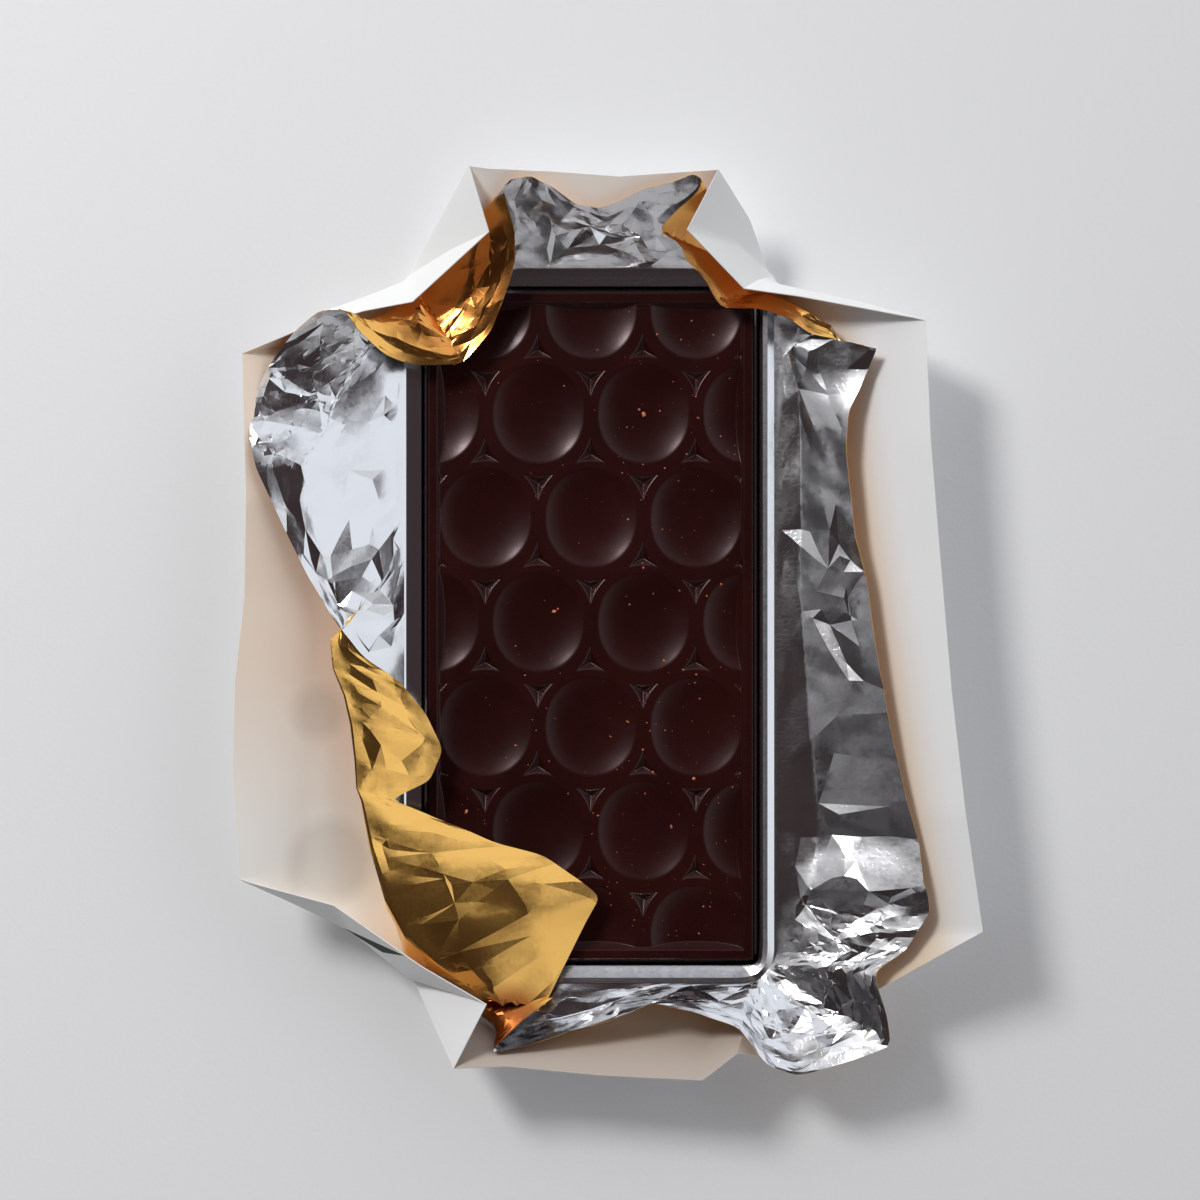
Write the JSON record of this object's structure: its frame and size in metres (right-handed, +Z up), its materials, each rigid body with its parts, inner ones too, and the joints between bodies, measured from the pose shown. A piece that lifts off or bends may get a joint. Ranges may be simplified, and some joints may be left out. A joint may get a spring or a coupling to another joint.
{
  "type": "chocolate bar in opened wrapper",
  "caption": "Dark chocolate bar with a field of round dishes in a raised frame, lying in its opened foil and paper pack with flaps standing up round it.",
  "frame": {"origin": "under the middle of the bar, on the flat underside of the paper, where the pack rests on the table", "axes": "+X to the right across the bar's short side, +Y along its long side to the flap at the far end, +Z up out of the pack, with the moulded face up"},
  "size_m": [0.1677, 0.2049, 0.0252],
  "materials": {
    "dark_chocolate": "satin dark chocolate with a few small orange-red specks",
    "foil": "crumpled thin foil, silver on the inner side and gold on the outer side",
    "paper": "plain white uncoated paper"
  },
  "bodies": {
    "root": {"chocolate_bar": "dark_chocolate", "foil_wrapper": "foil", "paper_wrapper": "paper"}
  },
  "joints": []
}
